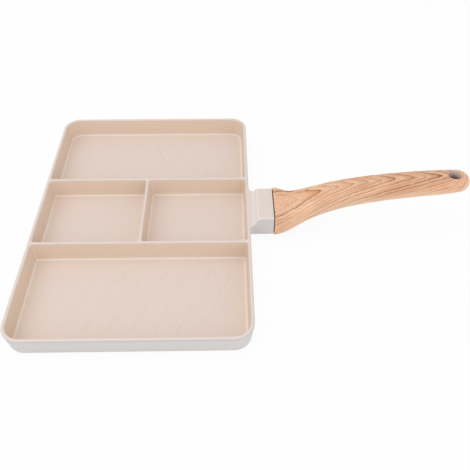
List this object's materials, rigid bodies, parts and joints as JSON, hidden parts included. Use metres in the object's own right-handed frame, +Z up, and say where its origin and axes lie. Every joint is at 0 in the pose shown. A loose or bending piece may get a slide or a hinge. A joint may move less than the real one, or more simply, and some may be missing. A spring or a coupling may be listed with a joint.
{
  "type": "divided frying pan",
  "caption": "Rectangular divided frying pan with ribbed long compartments, small middle compartments and a raised S-curved handle with a hang hole.",
  "frame": {"origin": "middle of the pan's flat base face", "axes": "+Z up, out of the compartments; +X from the pan along the handle; +Y across the handle"},
  "size_m": [0.379, 0.2806, 0.0581],
  "materials": {
    "coated_casting": "satin",
    "grip": "satin",
    "steel": "satin"
  },
  "bodies": {
    "root": {"pan": "coated_casting", "handle": "grip", "handle_screw": "steel", "lock_washer": "steel"}
  },
  "joints": []
}
